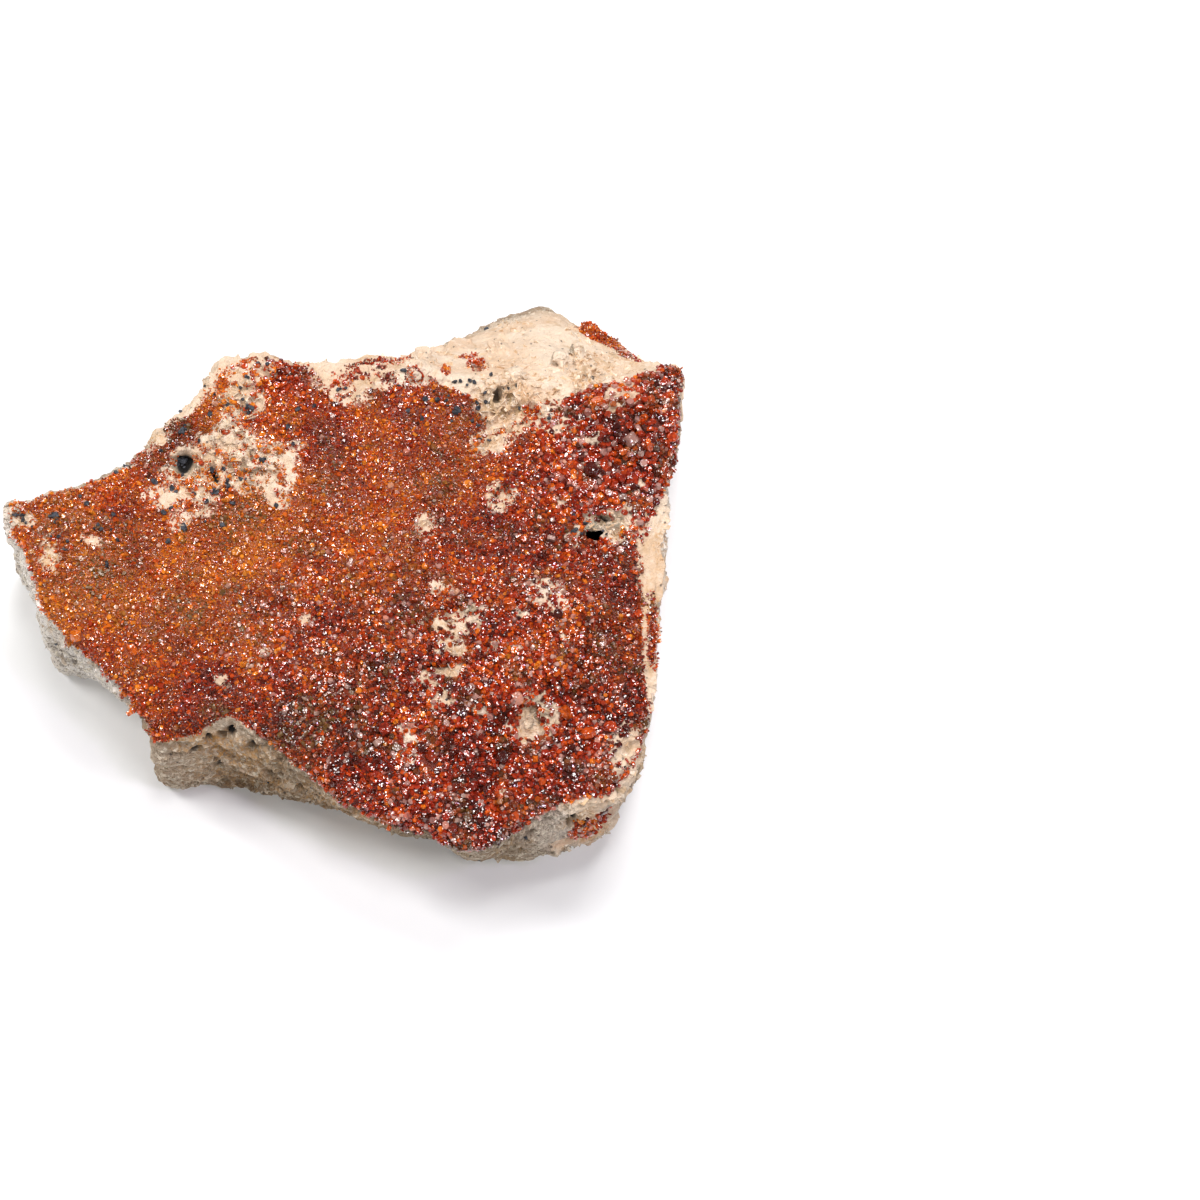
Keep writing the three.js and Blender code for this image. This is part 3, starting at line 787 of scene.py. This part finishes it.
def hollows_and_pores(points, bare, wall, open_beds):
    """The thin-walled hollows and the round pores of the bare stone, each from 0 to 1."""
    open_ground = smooth(-0.1, 0.3, noise_at(points, 6.5 * MM, 7.9)) * bare * (0.35 + 0.65 * wall)
    open_ground = np.maximum(open_ground, open_beds)
    bends = np.stack([noise_at(points, 2 * MM, seed) for seed in (1.5, 5.1, 9.9)], axis=1)
    bent = points + 0.6 * MM * bends
    nearest, second = cells_at(bent, 1.7 * MM, 3.7, (1, 1, 1.6)).T
    hollows = smooth(0.06, 0.4, second - nearest) * open_ground
    pores = (1 - smooth(0.16, 0.28, cells_at(bent, 2.6 * MM, 6.1)[:, 0])) * bare * (0.3 + 0.7 * wall)
    return hollows, pores


def lit_top_ground(points, normals):
    """Where the stone has the light colour of its top rather than the darker one of its walls, partly its
    own colour and partly painted light and shade: less on the front wall and near its foot.
    """
    outer = np.maximum(smooth(5 * MM, 15 * MM, points[:, 1]), smooth(19 * MM, 26 * MM, points[:, 0]))
    return smooth(0.35, 0.75, normals[:, 2] + 0.5 * outer) * smooth(2 * MM, 8 * MM, points[:, 2])


def roughen(stone):
    """Gives the stone its lumps, layers, hollows and pores, and stores what grows where, its stains, and
    where shade and light are painted.
    """
    mesh = stone.data
    points, normals = vertex_places(mesh), vertex_normals(mesh)
    pixels = view.pixels(points)
    cover = crust_cover(points, normals, pixels)
    bare = 1 - smooth(0.3, 0.8, cover)
    upward = smooth(0.25, 0.6, normals[:, 2])
    wall = 1 - smooth(0.2, 0.55, normals[:, 2])
    in_sight = smooth(-0.2, 0.2, view.facing(normals))
    holes = patches_at(pixels, HOLES) * in_sight
    open_beds = np.clip(spots_at(pixels, BLADE_BEDS), 0, 1) * in_sight * bare
    layers, leaves = layers_and_leaves(points)
    hollows, pores = hollows_and_pores(points, bare, wall, open_beds)
    push = broad_relief(points, bare) + (LAYER_DEPTH * layers + LEAF_DEPTH * leaves) * wall * bare
    push = push - HOLLOW_DEPTH * hollows - PORE_DEPTH * pores - HOLE_DEPTH * holes
    push += TOP_LEAF_DEPTH * leaves * upward * bare
    above_base = smooth(0.2 * MM, 1.2 * MM, points[:, 2])
    place_vertices(mesh, points + normals * (push * MM * above_base)[:, None])
    # Painted shade in the creases between layers and leaves, stored with the hollows and pores
    crease_shade = smooth(0.15, -0.6, 0.5 * layers + 0.5 * leaves) * wall
    stored = {
        "cover": cover,
        "tone": crystal_tone(points, pixels),
        "hollow": np.clip(0.75 * hollows + pores + 0.7 * crease_shade, 0, 1),
        "hole": np.clip(holes, 0, 1),
        "ochre": patches_at(pixels, OCHRE_PATCHES),
        "grey": patches_at(pixels, GREY_PATCHES),
        "face": lit_top_ground(points, normals),
        "light_side": np.clip(patches_at(pixels, LIT_PALER_WALLS), 0, 1),
    }
    for name, values in stored.items():
        set_attribute(mesh, name, values)
    coarsen(stone)


def coarsen(stone):
    """Takes away the triangles that do least for the stone's shape, and keeps the rest inside the box."""
    count = sum(len(face.vertices) - 2 for face in stone.data.polygons)
    apply_modifier(stone, "DECIMATE", ratio=STONE_TRIANGLES / count, use_collapse_triangulate=True)
    place_vertices(stone.data, vertex_places(stone.data))


def scatter(mesh, density, random):
    """Random points on a mesh, with the vertex attributes there: density per square metre."""
    mesh.calc_loop_triangles()
    corners = np.empty(len(mesh.loop_triangles) * 3, np.int32)
    mesh.loop_triangles.foreach_get("vertices", corners)
    corners = corners.reshape(-1, 3)
    places, normals = vertex_places(mesh), vertex_normals(mesh)
    first, second, third = (places[corners[:, i]] for i in range(3))
    areas = np.linalg.norm(np.cross(second - first, third - first), axis=1) / 2
    picked = random.choice(len(corners), int(areas.sum() * density), p=areas / areas.sum())
    shares = random.dirichlet((1, 1, 1), len(picked))

    def between_corners(values):
        return np.einsum("ij,ij...->i...", shares, values[corners[picked]])

    names = ("cover", "tone", "hollow", "hole", "face", "light_side")
    found = {name: between_corners(attribute_values(mesh, name)) for name in names}
    normal = between_corners(normals)
    found["normal"] = normal / np.linalg.norm(normal, axis=1, keepdims=True)
    found["place"] = between_corners(places)
    return found


def chosen(found, which):
    """What was found, at some of the places only."""
    return {name: values[which] for name, values in found.items()}


def thin_out(places, spacing, random):
    """The indices of points that keep their spacing, chosen in random order."""
    tree = KDTree(len(places))
    for i, place in enumerate(places.tolist()):
        tree.insert(place, i)
    tree.balance()
    dropped = np.zeros(len(places), bool)
    kept = []
    for i in random.permutation(len(spacing)):
        if dropped[i]:
            continue
        kept.append(i)
        for _, j, _ in tree.find_range(places[i], spacing[i]):
            dropped[j] = True
    return np.array(kept)


def random_turns(normals, tilt, random):
    """A rotation matrix for each normal: its third column leans from the normal by up to tilt."""
    lean = normals + np.tan(tilt)[:, None] * random_directions(len(normals), random)
    axis = lean / np.linalg.norm(lean, axis=1, keepdims=True)
    side = np.cross(axis, random_directions(len(normals), random))
    side /= np.linalg.norm(side, axis=1, keepdims=True)
    return np.stack([side, np.cross(axis, side), axis], axis=2)


def random_directions(count, random):
    steps = random.normal(size=(count, 3))
    return steps / np.linalg.norm(steps, axis=1, keepdims=True)


def copies_of(pattern, name, places, turns, sizes, attributes):
    """One mesh that holds a copy of the pattern mesh at each place, with its attributes."""
    shape = vertex_places(pattern)
    count, corners = len(places), len(shape)
    grown = shape[None, :, :] * sizes[:, None, :]
    points = np.einsum("nij,nkj->nki", turns, grown) + places[:, None, :]
    points = inside_box(points)
    loops = np.empty(len(pattern.loops), np.int32)
    pattern.loops.foreach_get("vertex_index", loops)
    starts = np.empty(len(pattern.polygons), np.int32)
    pattern.polygons.foreach_get("loop_start", starts)
    number = np.arange(count, dtype=np.int32)[:, None]
    mesh = bpy.data.meshes.new(name)
    mesh.vertices.add(count * corners)
    mesh.vertices.foreach_set("co", points.astype(np.float32).ravel())
    mesh.loops.add(count * len(loops))
    mesh.loops.foreach_set("vertex_index", (loops + number * corners).ravel())
    mesh.polygons.add(count * len(starts))
    mesh.polygons.foreach_set("loop_start", (starts + number * len(loops)).ravel())
    mesh.update(calc_edges=True)
    mesh.shade_flat()
    for attribute, values in attributes.items():
        set_attribute(mesh, attribute, np.repeat(values, corners))
    return placed_object(name, mesh)


def prism(sides):
    """A prism one unit wide and long, with flat ends."""
    deselect_all()
    bpy.ops.mesh.primitive_cylinder_add(vertices=sides, radius=0.5, depth=1, end_fill_type="NGON")
    return bpy.context.object


def taken_mesh(obj):
    """The object's mesh, once the object itself is gone."""
    mesh = obj.data.copy()
    bpy.data.objects.remove(obj)
    return mesh


def draw_in_top(obj, shares, shift=(0, 0, 0)):
    """Narrows the upper end of an upright shape to those shares of its widths, and shifts it."""
    for vertex in obj.data.vertices:
        vertex.select = vertex.co.z > 0
    bpy.ops.object.mode_set(mode="EDIT")
    bpy.ops.transform.resize(value=(*shares, 1))
    bpy.ops.transform.translate(value=shift)
    bpy.ops.object.mode_set(mode="OBJECT")


def splinter():
    """The smallest crystals: a slanting four-sided prism, drawn in at its upper end."""
    crystal = prism(4)
    draw_in_top(crystal, (0.75, 0.6), (0.08, 0.05, 0))
    return taken_mesh(crystal)


def large_crystal():
    """A six-sided prism with its end edges cut off narrowly, as the larger crystals show."""
    crystal = prism(6)
    for edge in crystal.data.edges:
        ends = [crystal.data.vertices[i].co.z for i in edge.vertices]
        edge.select = abs(ends[0] - ends[1]) < 0.5
    bpy.ops.object.mode_set(mode="EDIT")
    bpy.ops.mesh.bevel(offset=0.07, segments=1)
    bpy.ops.object.mode_set(mode="OBJECT")
    return taken_mesh(crystal)


def crystal_finish():
    finish = Finish("vanadinite_crystals")
    tone, dust = finish.attribute("tone"), finish.attribute("dust")
    colour = finish.ramp(tone, CRYSTAL_TONES)
    uneven = finish.between(finish.grain(0.35 * MM, 2), 0.45, 0.62)
    colour = finish.mix(uneven * 0.72, colour, CRYSTAL_SHADE, "MULTIPLY")
    colour = finish.mix(dust, colour, OLIVE_DUST)
    # Milky crystals turn pale pink, partly their own colour and partly painted reflection
    colour = finish.mix(finish.attribute("pale"), colour, MILKY_PINK_SHEEN)
    finish.surface(Base_Color=colour, Roughness=0.05 + 0.3 * dust, IOR=1.95)
    finish.surface(Normal=finish.sparkle(0.13 * MM, 0.5))
    return finish.material


def stone_finish():
    finish = Finish("barite_matrix")
    cover, tone = finish.attribute("cover"), finish.attribute("tone")
    hollow, face = finish.attribute("hollow"), finish.attribute("face")
    broad = finish.grain(7 * MM, 3)
    fine = finish.grain(0.7 * MM, 5, (1, 1, 1.8), 0.8)
    threads = finish.grain(0.35 * MM, 4, (1, 1, 2.5), 1.5)
    # The walls take darker, browner colours than the top: partly the broken stone's own colour, partly
    # painted shade
    side = finish.mix(finish.between(broad, 0.4, 0.62), SHADED_WALL_BROWN, SHADED_WALL_TAN)
    # Lighter walls: partly their own greyer colour, partly painted light
    side = finish.mix(finish.attribute("light_side"), side, LIT_WALL_CHALK)
    side = finish.mix(finish.between(fine, 0.47, 0.66) * 0.85, side, WALL_CREAM)
    side = finish.mix(finish.between(threads, 0.52, 0.34) * 0.8, side, WALL_THREADS)
    top = finish.mix(finish.between(broad, 0.38, 0.62), TOP_TAN, TOP_CREAM)
    top = finish.mix(finish.between(fine, 0.5, 0.75) * 0.6, top, TOP_PALE)
    top = finish.mix(finish.between(threads, 0.42, 0.28) * 0.6, top, TOP_THREADS)
    stone = finish.mix(face, side, top)
    stains = finish.between(finish.grain(3.2 * MM, 4, distortion=1.0), 0.56, 0.7)
    stone = finish.mix(stains * 0.45, stone, RUST_STAIN)
    mottled = finish.between(finish.grain(0.5 * MM, 4, distortion=0.8), 0.35, 0.7)
    stone = finish.mix(finish.attribute("ochre") * mottled, stone, OCHRE)
    stone = finish.mix(finish.attribute("grey") * mottled, stone, GREY_GREEN)
    specks = 1 - finish.between(finish.cells(1.3 * MM), 0.08, 0.15)
    stone = finish.mix(specks * 0.75, stone, DARK_SPECK)
    # Painted shade in the hollows, pores and creases
    hollow_shade = finish.mix(face, WALL_HOLLOW_SHADE, TOP_HOLLOW_SHADE)
    stone = finish.mix(finish.between(hollow, 0.2, 1.0) * 0.85, stone, hollow_shade)
    # Holes painted black inside as their shade
    stone = finish.mix(finish.between(finish.attribute("hole"), 0.35, 0.8), stone, HOLE_SHADE_BLACK)
    # The ground under the crystals: darker than they are, partly its own colour and partly painted shade
    # between them
    under = finish.ramp(tone, SHADED_GROUND_TONES)
    bed = finish.between(cover, 0.35, 0.6)
    height = fine * 0.5 + threads * 0.5 + finish.grain(0.22 * MM, 3) * 0.3
    rough = finish.bump(height, 0.3 * MM)
    finish.surface(Base_Color=finish.mix(bed, stone, under), Roughness=0.82 - 0.5 * bed, Normal=rough)
    return finish.material


def grain_finish():
    finish = Finish("dark_grains")
    shade = finish.between(finish.grain(0.5 * MM, 3), 0.4, 0.65)
    colour = finish.mix(shade, GRAIN_BLACK, GRAIN_BLUE)
    height = finish.grain(0.15 * MM, 3)
    finish.surface(Base_Color=colour, Roughness=0.42 + 0.25 * shade, Normal=finish.bump(height, 0.06 * MM))
    return finish.material


def blade_finish():
    finish = Finish("barite_blades")
    shade = finish.between(finish.grain(0.9 * MM, 3), 0.4, 0.65)
    # Blades on the walls take darker colours than those on top: partly their own colour, partly painted
    # shade
    side = finish.mix(shade, SHADED_BLADE_BROWN, SHADED_BLADE_GREY)
    # Blades on the lighter walls: partly their own colour, partly painted light
    side = finish.mix(finish.attribute("light_side"), side, LIT_BLADE_CHALK)
    top = finish.mix(shade, BLADE_TAN, BLADE_CREAM)
    colour = finish.mix(finish.attribute("face"), side, top)
    height = finish.grain(0.2 * MM)
    finish.surface(Base_Color=colour, Roughness=0.5 + 0.2 * shade, Normal=finish.bump(height, 0.05 * MM))
    return finish.material


def dress(piece, finish, slot, *nodes):
    """Gives a piece its material and its place in the part, with the solids that it takes the place of."""
    piece.data.materials.clear()
    piece.data.materials.append(finish)
    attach(piece, "root")
    if nodes:
        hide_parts(*nodes)


def crystal_widths(pixels, random):
    """A width in metres for the crystal at each point."""
    bed = FINE_WIDTH + spots_at(pixels, COARSE_BEDS)
    widths = bed * np.exp(0.3 * random.normal(size=len(bed)))
    plates = random.random(len(bed)) < PLATE_SHARE
    widths[plates] *= random.uniform(1.5, 2.4, plates.sum())
    return np.clip(widths, SMALLEST_WIDTH, LARGEST_WIDTH) * MM


def crystal_colours(found, pixels, random):
    """Each crystal's tone, its dust and how milky it is; the milky ones' pale pink is partly painted
    reflection.
    """
    count = len(pixels)
    tone = found["tone"] + 0.22 * random.normal(size=count) + 0.35 * (random.random(count) < 0.08)
    clouds = smooth(0.0, 0.45, noise_at(found["place"], 2.6 * MM, 21.4))
    shade = spots_at(pixels, DUST_SPOTS) + 0.5 * clouds
    dust = shade * (0.1 + 1.3 * random.random(count) ** 1.5)
    share = 0.03 + 0.04 * smooth(200, 450, pixels[:, 0]) + spots_at(pixels, MILKY_SHEEN_SPOTS)
    milky = random.random(count) < share
    pale = milky * random.uniform(0.3, 0.8, count)
    return {"tone": np.clip(tone, 0, 1), "dust": np.clip(dust, 0, 0.95), "pale": pale}


def crystal_places(stone, random):
    """What is found where crystals grow, the photo pixels there, and their widths."""
    found = scatter(stone.data, CRYSTAL_SEEDS, random)
    found = chosen(found, random.random(len(found["cover"])) < found["cover"] * 1.5 - 0.15)
    pixels = view.pixels(found["place"])
    widths = crystal_widths(pixels, random)
    kept = thin_out(found["place"], widths * CRYSTAL_SPACING, random)
    return chosen(found, kept), pixels[kept], widths[kept]


def crystal_shapes(found, widths, random):
    """Each crystal's middle, its turn and its three sizes."""
    count = len(widths)
    slender = 1 - smooth(0.35 * MM, 0.6 * MM, widths)
    lengths = widths * (random.uniform(0.4, 0.9, count) + slender * random.uniform(0.1, 1.3, count))
    turns = random_turns(found["normal"], random.uniform(0.1, 1.5, count), random)
    middles = found["place"] + found["normal"] * (widths * random.uniform(-0.1, 0.45, count))[:, None]
    sizes = np.stack([widths * random.uniform(0.9, 1.4, count), widths * 1.15, lengths], axis=1)
    return middles, turns, sizes


def crystal_groups(widths, tone):
    """The pieces' names, crystals and patterns: small crystals in four groups by tone, then wider ones."""
    order = np.argsort(tone, kind="stable")
    small = order[widths[order] < PRISM_WIDTH * MM]
    middling = order[(widths[order] >= PRISM_WIDTH * MM) & (widths[order] < LARGE_WIDTH * MM)]
    large = order[widths[order] >= LARGE_WIDTH * MM]
    groups = [*zip(("orange", "amber", "rust", "red"), np.array_split(small, 4), (splinter(),) * 4)]
    return groups + [("garnet", middling, taken_mesh(prism(6))), ("large", large, large_crystal())]


def make_crystals(stone, finish):
    random = np.random.default_rng(ROOT_SEED)
    found, pixels, widths = crystal_places(stone, random)
    colours = crystal_colours(found, pixels, random)
    middles, turns, sizes = crystal_shapes(found, widths, random)
    for name, which, pattern in crystal_groups(widths, colours["tone"]):
        own = {attribute: values[which] for attribute, values in colours.items()}
        piece = copies_of(pattern, name + "_crystals", middles[which], turns[which], sizes[which], own)
        nodes = ["vanadinite_druse", *SIDE_DRUSES] if name == "orange" else ["vanadinite_druse"]
        dress(piece, finish, "vanadinite", *nodes)


def grain_pattern():
    """One uneven grain, one unit wide."""
    deselect_all()
    bpy.ops.mesh.primitive_ico_sphere_add(subdivisions=1, radius=0.5)
    grain = bpy.context.object
    bpy.ops.object.mode_set(mode="EDIT")
    bpy.ops.mesh.select_all(action="SELECT")
    bpy.ops.transform.vertex_random(offset=0.09, seed=3)
    bpy.ops.object.mode_set(mode="OBJECT")
    return taken_mesh(grain)


def grain_spots(random):
    """The dark spots of the face, then stray ones: photo pixel, width and height in pixels."""
    spots = list(DARK_GRAINS)
    for across, down, half_width, half_height in STRAY_GRAIN_ZONES:
        for _ in range(STRAY_GRAINS):
            dx, dy = random.uniform(-1, 1, 2)
            width, height = random.uniform(2, 4, 2)
            spots.append((across + dx * half_width, down + dy * half_height, width, height))
    return spots


def face_grains(stone, random):
    """Places and sizes of the grains on the face: a few for each wide spot, one for a small one."""
    tree = BVHTree.FromObject(stone, bpy.context.evaluated_depsgraph_get())
    places, sizes = [], []
    for across, down, width, height in grain_spots(random):
        place, normal, _, _ = tree.ray_cast(view.place, view.direction(across, down))
        if place is None:
            continue
        lumps = 1 + int(width * height / SPOT_PER_GRAIN)
        for _ in range(lumps):
            dx, dy = random.normal(size=2) * 0.2 * (lumps > 1)
            shift = Vector((dx * width * PIXEL, dy * height * PIXEL, 0))
            sizes.append(random.uniform(2.4, 5.0) * PIXEL * random.uniform(0.7, 1.3, 3))
            places.append(place + shift + normal * 0.2 * MM)
    return np.array(places), np.array(sizes)


def hollow_grains(stone, random):
    """Places and sizes of grains in the hollows of the bare stone."""
    found = scatter(stone.data, GRAIN_SEEDS, random)
    raised = found["place"][:, 2] > 2 * MM
    hollows = np.flatnonzero((found["hollow"] > 0.35) & (found["cover"] < 0.2) & raised)
    picked = random.permutation(hollows)[:WALL_GRAINS]
    count = len(picked)
    sizes = random.uniform(0.3, 0.8, (count, 1)) * random.uniform(0.7, 1.2, (count, 3)) * MM
    return found["place"][picked], sizes


def make_grains(stone, finish):
    random = np.random.default_rng(ROOT_SEED + 1)
    on_face, in_hollows = face_grains(stone, random), hollow_grains(stone, random)
    places, sizes = (np.concatenate(both) for both in zip(on_face, in_hollows))
    turns = random_turns(np.tile((0.0, 0.0, 1.0), (len(places), 1)), np.full(len(places), 0.25), random)
    grains = copies_of(grain_pattern(), "dark_grain_cluster", places, turns, sizes, {})
    dress(grains, finish, "dark_grains")


def blade_pattern():
    """One thin barite blade: a flat plate one unit long, with its upper edge drawn in."""
    deselect_all()
    bpy.ops.mesh.primitive_cube_add(size=1)
    blade = bpy.context.object
    draw_in_top(blade, (0.62, 0.5))
    return taken_mesh(blade)


def make_blades(stone, finish):
    random = np.random.default_rng(ROOT_SEED + 2)
    found = scatter(stone.data, BLADE_SEEDS, random)
    bare = (found["cover"] < 0.4) & (found["hole"] < 0.1) & (found["place"][:, 2] > 1.5 * MM)
    in_sight = view.facing(found["normal"]) > 0
    beds = np.clip(spots_at(view.pixels(found["place"]), BLADE_BEDS), 0, 1) * in_sight
    patchy = smooth(-0.1, 0.4, noise_at(found["place"], 3.5 * MM, 12.3))
    share = np.maximum(beds, 0.22 * patchy)
    found = chosen(found, bare & (random.random(len(share)) < share))
    count = len(found["cover"])
    turns = random_turns(found["normal"], random.uniform(0.2, 1.4, count), random)
    lengths = random.uniform(0.4, 1.4, count) * MM
    heights = lengths * random.uniform(0.25, 0.7, count)
    sizes = np.stack([lengths, random.uniform(0.05, 0.13, count) * MM, heights], axis=1)
    places = found["place"] - found["normal"] * (0.1 * heights)[:, None]
    own = {"face": found["face"], "light_side": found["light_side"]}
    piece = copies_of(blade_pattern(), "barite_blade_beds", places, turns, sizes, own)
    dress(piece, finish, "matrix")


def add_floor():
    deselect_all()
    bpy.ops.mesh.primitive_plane_add(size=FLOOR_WIDTH)
    floor = bpy.context.object
    floor.name = "floor"
    finish = Finish("pale_floor")
    finish.surface(Base_Color=FLOOR_WHITE, Roughness=0.9)
    floor.data.materials.append(finish.material)


def add_lamp(name, place, width, power, colour):
    """A square soft light that faces the stone."""
    light = bpy.data.lights.new(name, "AREA")
    light.shape = "SQUARE"
    light.size = width
    light.energy = power
    light.color = colour
    lamp = placed_object(name, light)
    lamp.location = place
    lamp.rotation_euler = (Vector((0, 0, 0.01)) - lamp.location).to_track_quat("-Z", "Y").to_euler()


def add_lights():
    world = bpy.data.worlds.new("studio")
    bpy.context.scene.world = world
    world.use_nodes = True
    world.node_tree.nodes["Background"].inputs["Color"].default_value = (1, 1, 1, 1)
    world.node_tree.nodes["Background"].inputs["Strength"].default_value = ROOM_LIGHT
    for name, (place, width, power, colour) in LAMPS.items():
        add_lamp(name, place, width, power, colour)
    bpy.context.scene.view_settings.view_transform = "Standard"


view = PhotoView()
view.add_camera()
stone = make_stone()
roughen(stone)
make_crystals(stone, crystal_finish())
make_grains(stone, grain_finish())
make_blades(stone, blade_finish())
dress(stone, stone_finish(), "matrix", "matrix")
add_floor()
add_lights()
